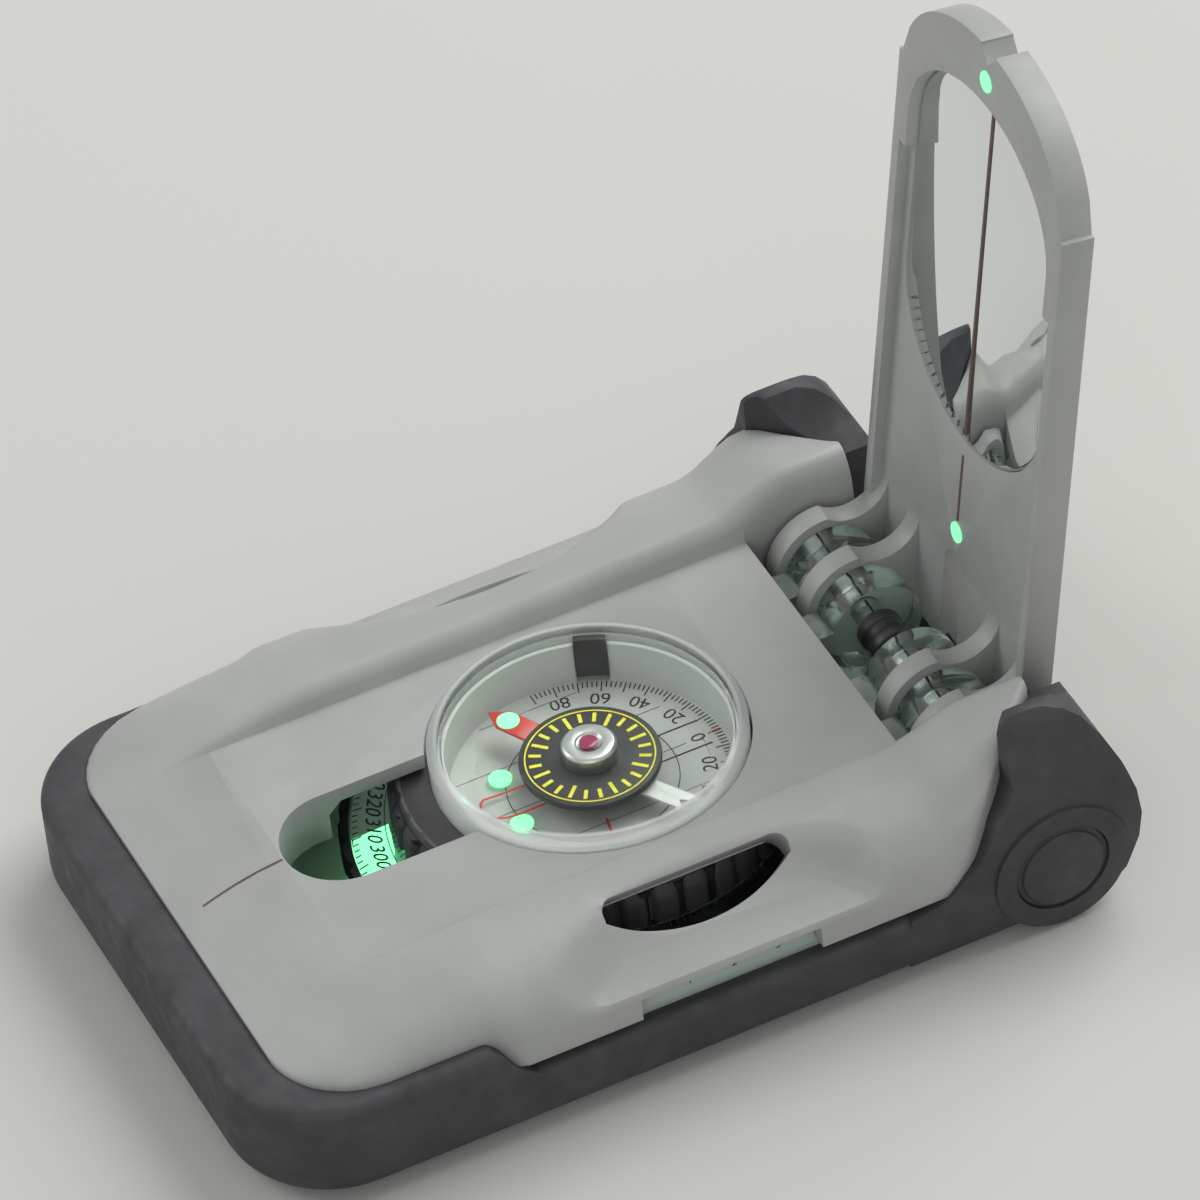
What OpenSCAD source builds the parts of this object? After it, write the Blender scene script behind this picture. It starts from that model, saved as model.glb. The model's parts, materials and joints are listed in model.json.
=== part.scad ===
// Folding mirror compass: a clear base, a moulded top housing in a rubber
// bumper, a dial that the thumbs turn through two side windows, a liquid
// capsule with its needle and clinometer, and a sighting lid on a barrel hinge.
// Origin: dial axis on the underside. +X to the user's right, +Y to the hinge, +Z up.

/* [Body] */
// Width over the rubber bumper
body_w = 66.5; // [65.5:0.25:68]
// From the dial axis to the front of the bumper
front_len = 52.25; // [51.75:0.25:54]
// Radius of the bumper's front corners in plan
corner_r = 12; // [10:0.5:14]
// Height of the deck that the capsule stands in
deck_z = 16.8; // [16.6:0.1:17.4]
// Thickness of the deck
deck_t = 1.8; // [1.4:0.1:2]
// How far the deck has dropped at the front edge
nose_drop = 3.4; // [2.5:0.1:4]
// Height of the two rails beside the channel
rail_h = 2.4; // [1.6:0.1:3]
// Height of the ears that flank the hinge
ear_top = 22.8; // [22.4:0.1:23.4]
// Lowest edge of the top housing
skirt_z = 9.4; // [9.2:0.1:9.8]

/* [Rubber bumper] */
// Thickness of the bumper
rubber_t = 2.1; // [1.8:0.1:2.4]
// Thickness of the bumper at the front
nose_t = 5.4; // [4.6:0.1:5.8]
// Height of the bumper along the sides
rubber_side_z = 8.3; // [7.5:0.1:8.8]
// Height of the bumper round the front
rubber_front_z = 13; // [12.4:0.1:13.3]
// Height of the ridge along the top of each rubber ear
ridge_z = 26.8; // [25.6:0.1:27.2]
// Height of the rear crossbar
rear_bar_z = 6.8; // [5.5:0.1:7]
// Radius of the round cap on each side
side_cap_r = 5.3; // [4.5:0.1:5.6]

/* [Clear base] */
// Thickness of the base plate
plate_t = 2; // [1.6:0.1:2.4]
// Wall of the base tray
tray_wall = 1.6; // [1.2:0.1:1.8]
// Radius of the spigot that the dial turns on
spigot_r = 14; // [13:0.1:14.4]
// Length of the ruled flat in each side notch
rule_l = 20.4; // [16:0.2:24]

/* [Hinge] */
// Distance from the dial axis back to the hinge axis
hinge_y = 35; // [34.6:0.1:36]
// Height of the hinge axis
hinge_z = 12.8; // [12.6:0.1:13.2]
// Radius of the clear knuckles
knuckle_r = 5.2; // [4.6:0.1:5.4]
// Width of one knuckle
knuckle_w = 4; // [3.6:0.1:4.2]
// Width of one lid hook
hook_w = 2.5; // [2.2:0.1:2.7]
// Half of the gap between the two middle knuckles
mid_gap = 3.6; // [3:0.1:4]
// Radius of the steel hinge pin
pin_r = 1.5; // [1.2:0.05:1.8]

/* [Dial] */
// Radius of the capsule
capsule_r = 16.75; // [16.2:0.05:16.8]
// Height of the capsule's top face
capsule_top = 18.2; // [17.8:0.1:18.3]
// Outer radius of the ribbed drive ring
drive_r = 20.6; // [20:0.1:21]
// Outer radius of the grooved grip ring
scale_r = 26.9; // [26.4:0.1:27]
// Ribs round the drive ring
rib_n = 33; // [24:1:40]
// Grooves round the grip ring
grip_n = 43; // [30:1:48]
// Height of the printed face inside the capsule
face_z = 10.6; // [10.2:0.1:11.6]

/* [Needle] */
// Radius of the needle's magnet disc
disc_r = 7.45; // [6.5:0.05:8]
// Reach of the needle's red tip
needle_reach = 13.2; // [11:0.1:14]
// Bearing of the needle as shown, from +X
needle_az = -152; // [-180:1:180]
// Bearing of the clinometer pointer as shown, from +X
clino_az = 32; // [-180:1:180]
// Radius of the pivot post
post_r = 0.42; // [0.35:0.01:0.5]

/* [Lid] */
// Width of the lid
lid_w = 36; // [34:0.1:36.1]
// From the hinge axis to the lid's tip
lid_reach = 75.8; // [73:0.1:77]
// Thickness of the lid's plate
plate_lid_t = 2.4; // [2:0.1:2.6]
// From the hinge axis to the lid's inner face
lid_off = 6.4; // [6.3:0.05:6.6]
// Depth of the flange round the inner face
flange_h = 1.2; // [0.8:0.1:1.3]
// Width of the mirror
mirror_w = 30.4; // [26:0.2:31]
// Lower end of the mirror, from the hinge axis
mirror_s0 = 25.5; // [24:0.5:30]
// From the mirror's upper end to the lid's tip
tip_margin = 6.8; // [5.5:0.1:9]
// Opening angle of the lid as shown
lid_open = 98.5; // [0:0.5:138]

/* [Hidden] */
$fn = 72;

// Clearances
seat = 0.05;
run = 0.06;
free = 0.3;

// Body, worked out
half_w = body_w / 2;
inner_w = half_w - rubber_t;
front_y = -front_len;
inner_front = front_y + nose_t;
inner_r = corner_r - 2.8;
foot_z = 0.8;
floor_z = foot_z + plate_t;
edge_r = 4.2;
channel_w = lid_w / 2 + 0.35;
crest_w = channel_w + 2.6;
channel_end = hinge_y - 7.8;
side_w = half_w - 0.4;
ear_w = side_w - 4.6;
ear_front = hinge_y - 1;
ear_start = hinge_y - 11;
ear_in = crest_w + 0.5;
ear_slope = (ear_w - ear_in) / 6.4;
ear_end = ear_front + 6.4;
rear_y = hinge_y + 11.7;
plate_end = hinge_y + 3;

// Openings in the housing
capsule_hole = capsule_r + free;
slot_w = 13.1;
slot_end = inner_front + 12.25;
cavity_r = scale_r + 0.7;
cavity_z = deck_z - deck_t;
scoop_a = 10;
scoop_l = 19.5;
scoop_c = half_w - 0.3;
scoop_in = scoop_c - 10.75;
window_x = 25.9;
window_z = 16.6;
window_tilt = 38;
window_l = 21;
window_h = 5.8;
window_end = 2.4;
notch_z = skirt_z + 2.7;

// Hinge, worked out
knuckle_gap = free;
knuckle_x = [mid_gap, mid_gap + knuckle_w + hook_w + 2 * knuckle_gap];
hook_x = [for (x = knuckle_x) x + knuckle_w + knuckle_gap];
hinge_half = hook_x[1] + hook_w;
bar_y = channel_end + 0.4;

// Dial, worked out
dial_z = floor_z + free;
drive_top = cavity_z - 0.6;
rim_top = drive_top - 0.2;
bore_r = capsule_r + seat;
shelf_z = 6.4;
cup_z = shelf_z + 0.2;
shell_t = 1.2;
glass_t = 1;
bevel = 0.8;
collar_t = 0.5;
plug_az = 154;
plug_w = 3.4;
rib_r = 0.6;
cone_in_z = 9.2;
cone_out_z = 6.6;
rim_t = 1.2;
cone_t = 1.2;
pad_gap = 0.5;

// Needle stack, worked out
leaf_t = 0.3;
disc_layer = face_z + free;
needle_layer = capsule_top - 4.9;
clino_layer = needle_layer - leaf_t - free;
needle_t = 0.8;
hub_r = 2.95;
hub_top = needle_layer + needle_t + 2;
pivot_run = post_r + run;

// Lid, worked out
lid_half = lid_w / 2;
lid_back = lid_off + plate_lid_t;
flange_t = 1.4;
lid_s0 = -2;
tip_s = lid_reach - 13.5;
mirror_s1 = lid_reach - tip_margin;
tip_w = lid_half - 0.6;
glass_depth = 1;
dot_r = 1.15;

// Points a quarter turn at a time, for smooth blends
function clip(u) = max(0, min(1, u));
function ease(a, b, t) = let (u = clip((t - a) / (b - a))) u * u * (3 - 2 * u);
function oval(t, p) = pow(max(0, 1 - pow(clip(t), p)), 1 / p);

// Outline of the housing in plan: half width at each station along Y
function front_w(y) = let (d = inner_front + inner_r - y)
    d > 0 ? inner_w - seat - inner_r + sqrt(max(0, inner_r * inner_r - d * d)) : inner_w - seat;
function plan_w(y) =
    y < 0 ? front_w(y) + (side_w - inner_w + seat) * ease(-27, -23, y)
    : y < ear_start ? side_w
    : y < ear_front ? side_w - (side_w - ear_w) * pow((y - ear_start) / (ear_front - ear_start), 2)
    : ear_w - ear_slope * (y - ear_front);

// Height of the deck, of the shoulder over it and of the finger scoop
function deck_at(y) = deck_z - nose_drop * pow(clip((inner_front + 14.2 - y) / 14.2), 2);
function rise(y) = rail_h * ease(inner_front + 3, inner_front + 25, y) + 0.6 * ease(-5, ear_start, y)
    + (ear_top - deck_z - rail_h - 0.6) * ease(ear_start, ear_front - 0.5, y);
function edge_z(y) = y < 0 ? rubber_front_z + (skirt_z + 1.4 - rubber_front_z) * ease(-27, -22, y)
    : skirt_z + 1.4 + (ear_top - skirt_z - 2.6) * ease(ear_start + 1, ear_front - 0.5, y);
function shoulder(a, y) = let (top = deck_at(y) + rise(y), low = min(edge_z(y), top - 0.1),
    t = (a - crest_w) / (plan_w(y) - crest_w)) low + (top - low) * oval(t, 2.4);
function scoop(a) = notch_z + 0.7 + (deck_z + 1.9 - notch_z)
    * pow(1 - clip((a - scoop_in) / (scoop_c - scoop_in)), 1.35);
function scoop_mask(a, y) = let (dx = scoop_c - a, q = sqrt(pow(dx / scoop_a, 2) + pow(y / scoop_l, 2)),
    r = sqrt(dx * dx + y * y)) ease(-0.3, 2.5 + (y < 0 ? 3.5 : 1.5) * clip(abs(y) / 14), q > 0.01 ? r * (1 - q) / q : scoop_a);
function outer_z(a, y) = let (s = shoulder(a, y), m = scoop_mask(a, y))
    s + m * (min(s, scoop(a)) - s);
function rail_z(a, y) = let (t = clip((a - channel_w) / (crest_w - channel_w)))
    deck_at(y) + (outer_z(crest_w, y) - deck_at(y)) * sqrt(1 - pow(1 - t, 2.2)) ;

stations = concat([for (d = [0, 0.15, 0.5, 1.1, 2, 3.2, 4.8, 6.6, 9.2, 12, 15, 18]) inner_front + seat + d],
    [for (y = [-27.5, -26, -24.5, -23, -21.6]) y], [for (y = [-20:0.7:-13]) y], [for (y = [-12:1:-8]) y],
    [-5, -2.5, 0, 2.5, 5], [for (y = [8:1:12]) y], [for (y = [13:0.7:20]) y], [21.8],
    [for (k = [0:7]) ear_start + 0.4 + (ear_front - ear_start - 0.4) * k / 7],
    [for (k = [1:4]) ear_front + (ear_end - ear_front) * k / 4]);
rail_steps = [0, 0.12, 0.3, 0.55, 0.8];
side_steps = [for (k = [0:14]) sin(k * 90 / 14)];

// One cross-section of the housing, from the lower left round the top to the lower right
function half_section(y) = let (w = plan_w(y)) concat(
    [for (t = rail_steps) let (a = channel_w + (crest_w - channel_w) * t) [a, rail_z(a, y)]],
    [for (t = side_steps) let (a = crest_w + (w - crest_w) * t) [a, outer_z(a, y)]],
    [[w, skirt_z]]);
function section(y) = let (h = half_section(y), n = len(h)) concat(
    [for (i = [n - 1:-1:0]) [-h[i][0], y, h[i][1]]], [for (p = h) [p[0], y, p[1]]]);

// Skin through a row of closed sections, with flat ends
module loft(rings) {
    n = len(rings[0]);
    m = len(rings);
    polyhedron(convexity = 10,
        points = [for (r = rings) each r],
        faces = concat([[for (i = [0:n - 1]) i]], [[for (i = [n - 1:-1:0]) (m - 1) * n + i]],
            [for (j = [0:m - 2], i = [0:n - 1]) let (k = (i + 1) % n)
                [j * n + i, (j + 1) * n + i, (j + 1) * n + k]],
            [for (j = [0:m - 2], i = [0:n - 1]) let (k = (i + 1) % n)
                [j * n + i, (j + 1) * n + k, j * n + k]]));
}

// Rectangle in plan with round corners, exact arcs
module round_rect(x0, x1, y0, y1, rf, rb) {
    union() {
        translate([x0 + rf, y0]) square([x1 - x0 - 2 * rf, rf]);
        translate([x0, y0 + rf]) square([x1 - x0, y1 - y0 - rf - rb]);
        translate([x0 + rb, y1 - rb]) square([x1 - x0 - 2 * rb, rb]);
        for (x = [x0 + rf, x1 - rf]) translate([x, y0 + rf]) circle(rf);
        for (x = [x0 + rb, x1 - rb]) translate([x, y1 - rb]) circle(rb);
    }
}

// Extrude a profile drawn in Y and Z along X, from x0 to x1
module along_x(x0, x1) {
    translate([x0, 0, 0]) rotate([90, 0, 90]) linear_extrude(x1 - x0) children();
}

module mirror_pair() {
    children();
    mirror([1, 0, 0]) children();
}

// Shape of a side window in its own plane: straight above, arched below
module window_outline() {
    sag = window_h - window_end;
    arc_r = (pow(window_l / 2, 2) + pow(sag, 2)) / (2 * sag);
    intersection() {
        translate([0, arc_r - window_h]) circle(arc_r, $fn = 120);
        round_rect(-window_l / 2, window_l / 2, -window_h - 4, 0, 2, 1.6);
    }
}

module top_housing() {
    boss_h = 4.4;
    color("#bdbfbe") difference() {
        union() {
            difference() {
                loft([for (y = stations) section(y)]);
                rotate_extrude($fn = 120) polygon([[0, skirt_z - 1], [cavity_r, skirt_z - 1],
                    [cavity_r, cavity_z - 1.4], [cavity_r - 1.4, cavity_z], [0, cavity_z]]);
                translate([-inner_w + 4, inner_front + 4, skirt_z - 1])
                    cube([2 * inner_w - 8, -inner_front - 14, deck_z - nose_drop - 2 - skirt_z]);
            }
            for (p = screw_at) translate([p[0], p[1], floor_z + seat])
                cylinder(r = 2.4, h = skirt_z + boss_h - floor_z);
        }
        translate([0, 0, cavity_z - 1]) cylinder(r = capsule_hole, h = 10, $fn = 96);
        translate([-slot_w / 2, slot_end + slot_w / 2, skirt_z - 1])
            cube([slot_w, -slot_end - slot_w / 2, 20]);
        translate([0, slot_end + slot_w / 2, skirt_z - 1]) cylinder(r = slot_w / 2, h = 20);
        translate([-channel_w - 0.1, channel_end, skirt_z - 1]) cube([2 * channel_w + 0.2, 30, 30]);
        translate([-half_w, ear_end - 0.35, skirt_z - 1]) cube([body_w, 9, 30]);
        mirror_pair() {
            translate([window_x, 0, window_z]) rotate([0, window_tilt, 0])
                rotate([0, 0, 90]) translate([0, window_h / 2 - 0.2, -4])
                    linear_extrude(8) window_outline();
            translate([inner_w - tray_wall - 2 * seat, -rule_l / 2, skirt_z - 1])
                cube([7, rule_l, notch_z - skirt_z + 1]);
        }
        for (p = screw_at) translate([p[0], p[1], floor_z - 1]) cylinder(r = screw_r, h = 9, $fn = 32);
    }
}

// Screws from below: two behind the front corners, two in the ears
screw_at = [[-24.5, -41], [24.5, -41], [-24.2, 28.5], [24.2, 28.5]];
screw_r = 0.9;
head_r = 1.8;

// Housing in plan behind the front corners, grown by the seat and no wider than limit to each side
module housing_plan(limit) {
    side = [for (y = stations) if (y > -28) [min(limit, plan_w(y) + seat), y]];
    last = side[len(side) - 1];
    polygon(concat([[0, side[0][1]]], side, [[last[0], ear_end + 0.1], [0, ear_end + 0.1]]));
}

// Base plate in plan: full width to the ears, narrower between them; grown by g
module plate_outline(g) {
    round_rect(-inner_w - g, inner_w + g, inner_front - g, plate_end + g, inner_r, 2);
    translate([-ear_in - g, 0]) square([2 * ear_in + 2 * g, rear_y - 4 + g]);
}

module clear_base() {
    w = inner_w - seat;
    wall_top = skirt_z - 0.1;
    color("#cfe6d6", 0.5) difference() {
        union() {
            translate([0, 0, foot_z]) linear_extrude(plate_t) plate_outline(-seat);
            difference() {
                translate([0, 0, foot_z]) linear_extrude(wall_top - foot_z)
                    round_rect(-w, w, inner_front + seat, ear_start, inner_r, 0.1);
                translate([0, 0, floor_z]) linear_extrude(20)
                    round_rect(-w + tray_wall, w - tray_wall, inner_front + tray_wall, hinge_y,
                        inner_r - tray_wall, 0.1);
            }
            mirror_pair() translate([w - tray_wall, -rule_l / 2 + 0.1, floor_z])
                cube([tray_wall, rule_l - 0.2, notch_z - 0.1 - floor_z]);
            translate([0, 0, foot_z]) cylinder(r = spigot_r, h = floor_z + 2.6 - foot_z, $fn = 96);
            translate([-hinge_half, bar_y, foot_z]) cube([2 * hinge_half, 2.4, hinge_z - 4.2 - foot_z]);
            mirror_pair() for (x = knuckle_x) {
                along_x(x, x + knuckle_w) translate([hinge_y, hinge_z]) circle(knuckle_r);
                translate([x, bar_y, foot_z]) cube([knuckle_w, hinge_y - bar_y - 1.3, hinge_z - 5 - foot_z]);
                translate([x, bar_y, foot_z]) cube([knuckle_w, hinge_y - bar_y - 3.4, hinge_z + 1.4 - foot_z]);
            }
        }
        along_x(-half_w, half_w) translate([hinge_y, hinge_z]) circle(pin_r);
        translate([0, 0, floor_z]) cylinder(r = spigot_r - 2, h = 10);
        translate([0, 0, floor_z + free]) difference() {
            cylinder(r = cavity_r, h = 10, $fn = 120);
            cylinder(r = drive_r, h = 30, center = true);
        }
        for (p = screw_at) {
            translate([p[0], p[1], -1]) cylinder(r = screw_r + 0.1, h = 9, $fn = 32);
            translate([p[0], p[1], -1]) cylinder(r = head_r + 0.15, h = foot_z + 2.2, $fn = 32);
        }
    }
}

// Profile of the bumper: 0 is its outer wall, inwards is negative
module bumper_profile(top, depth) {
    r = 1.6;
    translate([-depth, 0]) square([depth - edge_r, edge_r]);
    translate([-edge_r, edge_r]) circle(edge_r);
    translate([-depth, edge_r]) square([depth, top - edge_r - r]);
    translate([-depth, top - r - 0.01]) square([depth - r, r + 0.01]);
    translate([-r, top - r]) circle(r);
}

// Bumper along the front, round the corners and down both sides, before its inside is cut
module bumper_run(top, y1) {
    cx = half_w - corner_r;
    cy = front_y + corner_r;
    translate([-cx, front_y, 0]) rotate([90, 0, 90]) linear_extrude(2 * cx)
        mirror([1, 0]) bumper_profile(top, corner_r);
    mirror_pair() {
        translate([cx, cy, 0]) rotate([0, 0, -90]) rotate_extrude(angle = 90, $fn = 96)
            translate([corner_r, 0]) bumper_profile(top, corner_r);
        translate([half_w, y1, 0]) rotate([90, 0, 0]) linear_extrude(y1 - cy) bumper_profile(top, 6);
    }
}

// Side view of an ear in Y and Z
module ear_profile() {
    y = hinge_y;
    r = ridge_z;
    polygon([[ear_start - 4, 0], [y + 3.5, 0], [y + 6.7, 1.3], [y + 9.5, 4], [y + 11.2, 7.7],
             [y + 11.7, 10.8], [y + 11.3, 14.3], [y + 10, r - 8.2], [y + 8.5, r - 4.9], [y + 7, r - 2.6],
             [y + 5.4, r - 1.2], [y + 3.5, r - 0.4], [y + 1.5, r], [y - 0.4, r], [y - 1.4, r - 0.5],
             [y - 2, r - 1.5], [y - 2, 19.4], [y - 3, 18], [y - 4.7, 16.2], [y - 5.6, 14.4],
             [y - 6.9, 12.4], [y - 8.7, 11], [y - 10.5, 9.5], [ear_start - 1, rubber_side_z + 0.5],
             [ear_start - 4, rubber_side_z]]);
}

// Front view of the right ear in X and Z: a ridge that falls in a hollow curve to the housing
module ear_front_view() {
    w = half_w;
    r = ridge_z;
    polygon([[ear_in - 0.2, 0], [w - 3.2, 0], [w - 1.2, 0.9], [w - 0.2, 2.8], [w, 4.4],
             [w, r - 9.4], [w - 0.4, r - 8.2], [w - 1.4, r - 6.2], [w - 3.7, r - 1], [w - 4.3, r - 0.2],
             [w - 5, r], [w - 5.7, r - 0.4], [w - 6.5, r - 2], [w - 7.6, r - 3.6], [w - 9.2, r - 4.8],
             [ear_in - 0.2, r - 6]]);
}

// Where the round caps sit, in Y and Z
cap_at = [hinge_y + 2.2, 7.9];

module rubber_bumper() {
    boss_x = half_w + 0.4;
    step_y = inner_front + 20;
    color("#333336") difference() {
        union() {
            difference() {
                bumper_run(rubber_front_z, -22);
                along_x(-half_w - 1, half_w + 1) polygon([[step_y, 30], [step_y, rubber_front_z],
                    [step_y + 1.1, rubber_front_z - 1], [step_y + 2.6, rubber_side_z + 1.4],
                    [step_y + 4.4, rubber_side_z], [-10, rubber_side_z], [-10, 30]]);
                translate([0, 0, foot_z]) linear_extrude(30)
                    round_rect(-inner_w, inner_w, inner_front, 30, inner_r, 1);
                translate([-inner_w + 3, inner_front + 3, -1]) cube([2 * inner_w - 6, 60, 3]);
            }
            mirror_pair() {
                translate([half_w, ear_start, 0]) rotate([90, 0, 0]) linear_extrude(ear_start + 22.1)
                    difference() {
                        bumper_profile(rubber_side_z, rubber_t + 3);
                        translate([-rubber_t - 9, foot_z]) square([9, 30]);
                    }
                difference() {
                    intersection() {
                        along_x(ear_in - 0.2, half_w) ear_profile();
                        translate([0, 60, 0]) rotate([90, 0, 0]) linear_extrude(60) ear_front_view();
                    }
                    translate([0, 0, floor_z + seat]) linear_extrude(40) housing_plan(inner_w);
                    translate([0, 0, foot_z]) linear_extrude(plate_t + 2 * seat) plate_outline(0);
                }
                along_x(half_w - 1, boss_x) translate(cap_at) circle(side_cap_r + 2.3);
            }
            along_x(-ear_in, ear_in) polygon([[rear_y - 4 + seat, 0.3], [rear_y - 2.4, 0.6],
                [rear_y - 0.8, 2.4], [rear_y - 0.2, rear_bar_z - 0.8], [rear_y - 1, rear_bar_z],
                [rear_y - 3.2, rear_bar_z], [rear_y - 4 + seat, rear_bar_z - 0.8]]);
        }
        mirror_pair() translate([0, 0, skirt_z - 0.1]) linear_extrude(40) housing_plan(half_w);
        mirror_pair() along_x(half_w - 0.9, half_w + 2) translate(cap_at) circle(side_cap_r + seat);
        mirror_pair() translate([ear_in - 1, ear_start - 5, -0.1])
            cube([inner_w - 2 - ear_in, plate_end - ear_start + 2, foot_z + 0.1]);
    }
}

// Round cap pressed into the boss on the bumper's side
module side_cap() {
    along_x(half_w - 0.9 + seat, half_w + 0.1) translate(cap_at) circle(side_cap_r);
    along_x(half_w, half_w + 0.6) translate(cap_at) circle(side_cap_r - 0.7);
}

module right_side_cap() {
    color("#2b2b2e") side_cap();
}

module left_side_cap() {
    color("#2b2b2e") mirror([1, 0, 0]) side_cap();
}

module base_screws() {
    color("#b9bcc0") for (p = screw_at) translate([p[0], p[1], 0]) difference() {
        union() {
            translate([0, 0, foot_z + 0.1]) cylinder(r = head_r, h = 1.1, $fn = 32);
            translate([0, 0, foot_z + 0.1]) cylinder(r = screw_r, h = 8, $fn = 32);
        }
        translate([-0.2, -1.1, foot_z]) cube([0.4, 2.2, 0.6]);
        translate([-1.1, -0.2, foot_z]) cube([2.2, 0.4, 0.6]);
    }
}

// Fixed glowing pad under the scale in the azimuth slot, on a foot on the base
module window_light_pad() {
    in_r = drive_r + rib_r + 0.4;
    out_r = scale_r - rim_t - 0.4;
    fall = (cone_in_z - 0.4 - cone_out_z) / (scale_r - rim_t - drive_r - seat);
    under = cone_out_z - cone_t - pad_gap;
    color("#b8ffd8") intersection() {
        rotate_extrude($fn = 96) polygon([[in_r, floor_z + seat], [out_r, floor_z + seat], [out_r, under],
            [in_r, under + (scale_r - rim_t - in_r) * fall]]);
        linear_extrude(20) polygon([[0, 0], [-18, -40], [18, -40]]);
    }
}

module hinge_pin() {
    color("#d4d6d8") along_x(-hinge_half + 0.1, hinge_half - 0.1)
        translate([hinge_y, hinge_z]) circle(pin_r, $fn = 48);
}

// Grooved black collar on the pin between the middle knuckles
module hinge_spacer() {
    w = 2 * (mid_gap - 0.1);
    color("#202022") translate([-w / 2, hinge_y, hinge_z]) rotate([0, 90, 0]) difference() {
        rotate_extrude() polygon([[0, 0], [2.5, 0], [2.5, 1.2], [2, 1.5], [2, 2.6], [2.5, 2.9],
            [2.5, w - 2.9], [2, w - 2.6], [2, w - 1.5], [2.5, w - 1.2], [2.5, w], [0, w]]);
        translate([0, 0, -1]) cylinder(r = pin_r, h = w + 2, $fn = 48);
    }
}

module capsule_shell() {
    color("#eef6f2", 0.35) rotate_extrude($fn = 120)
        polygon([[0, capsule_top], [capsule_r - bevel, capsule_top], [capsule_r, capsule_top - bevel],
            [capsule_r, cup_z], [capsule_r - shell_t, cup_z], [capsule_r - shell_t, capsule_top - glass_t - 0.4],
            [capsule_r - shell_t - 0.4, capsule_top - glass_t], [0, capsule_top - glass_t]]);
}

// Printed face that closes the capsule
module capsule_face() {
    color("#e8ece8") translate([0, 0, cup_z + 0.4]) difference() {
        cylinder(r = capsule_r - shell_t - seat, h = face_z - cup_z - 0.4, $fn = 96);
        translate([0, 0, -1]) cylinder(r = capsule_r - 3, h = face_z - cup_z - 0.6, $fn = 96);
    }
    color("#e8ece8") translate([0, 0, face_z - 0.1]) difference() {
        cylinder(r = capsule_r - shell_t - seat, h = capsule_top - glass_t - 1.3 - face_z, $fn = 96);
        translate([0, 0, -1]) cylinder(r = capsule_r - shell_t - seat - collar_t, h = 12, $fn = 96);
        rotate(plug_az) translate([10, -plug_w / 2 - seat, 0.05]) cube([10, plug_w + 2 * seat, 12]);
    }
}

// Plug of the filling hole, in the capsule's wall
module filler_plug() {
    r = capsule_r - shell_t - seat;
    color("#1c1c1e") rotate([0, 0, plug_az]) intersection() {
        difference() {
            translate([0, 0, face_z + 0.9]) cylinder(r = r, h = capsule_top - glass_t - 1.4 - face_z, $fn = 96);
            translate([0, 0, face_z]) cylinder(r = r - 0.8, h = 12, $fn = 96);
        }
        translate([0, -plug_w / 2, 0]) cube([40, plug_w, 40]);
    }
}

module pivot_post() {
    color("#c8cacc") translate([0, 0, face_z]) {
        cylinder(r = post_r, h = hub_top - 0.6 - face_z, $fn = 32);
        translate([0, 0, hub_top - 0.6 - face_z]) cylinder(r1 = post_r, r2 = 0.08, h = 0.3, $fn = 32);
    }
}

// Bearings of the two glowing dots beside the orienting arrow
north_at = [-119, -75];

// Glowing dots let into the declination disc
module north_dots() {
    color("#b8ffd8") for (a = north_at) rotate([0, 0, a]) translate([9.6, 0, disc_layer])
        cylinder(r = 1.25, h = leaf_t, $fn = 32);
}

module drive_ring() {
    color("#232325") union() {
        rotate_extrude($fn = 120) polygon([[spigot_r + run, dial_z], [drive_r, dial_z], [drive_r, drive_top - 0.5],
            [drive_r - 0.5, drive_top], [bore_r, drive_top], [bore_r, shelf_z], [spigot_r + run, shelf_z]]);
        translate([0, 0, cone_in_z]) linear_extrude(drive_top - 0.7 - cone_in_z)
            for (k = [0:rib_n - 1]) rotate(k * 360 / rib_n) translate([drive_r - 0.15, 0]) circle(rib_r, $fn = 20);
    }
}

// Clear ring with the azimuth scale on its cone
module scale_ring() {
    out = scale_r - rim_t - seat;
    color("#dff5ea", 0.4) rotate_extrude($fn = 120)
        polygon([[drive_r + seat, cone_in_z - 0.4], [out, cone_out_z], [out, cone_out_z - cone_t],
            [drive_r + seat, cone_in_z - cone_t - 0.4]]);
}

// Grooved ring on the rim of the dial, for the thumbs
module grip_ring() {
    groove_r = 0.9;
    color("#232325") difference() {
        rotate_extrude($fn = 120) polygon([[scale_r - rim_t, cone_out_z - cone_t], [scale_r, cone_out_z - cone_t],
            [scale_r, rim_top - 0.9], [scale_r - 0.6, rim_top], [scale_r - rim_t, rim_top]]);
        for (k = [0:grip_n - 1]) rotate(k * 360 / grip_n) {
            translate([scale_r + groove_r - 0.5, 0, cone_out_z]) cylinder(r = groove_r, h = 20, $fn = 20);
            translate([scale_r - 2, -0.6, rim_top - 0.4]) cube([3, 1.2, 2]);
        }
    }
}

// Clear disc with the orienting arrow, turned against the face to set the declination
module declination_disc() {
    color("#f2f7f4", 0.35) translate([0, 0, disc_layer]) difference() {
        cylinder(r = 12.4, h = leaf_t, $fn = 96);
        translate([0, 0, -1]) cylinder(r = pivot_run, h = 3, $fn = 32);
        for (a = north_at) rotate([0, 0, a]) translate([9.6, 0, -1]) cylinder(r = 1.25 + seat, h = 3, $fn = 32);
    }
}

module needle_disc() {
    color("#26262a") translate([0, 0, needle_layer]) difference() {
        cylinder(r = disc_r, h = needle_t, $fn = 96);
        translate([0, 0, -1]) cylinder(r = pivot_run, h = 4, $fn = 32);
    }
}

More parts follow.
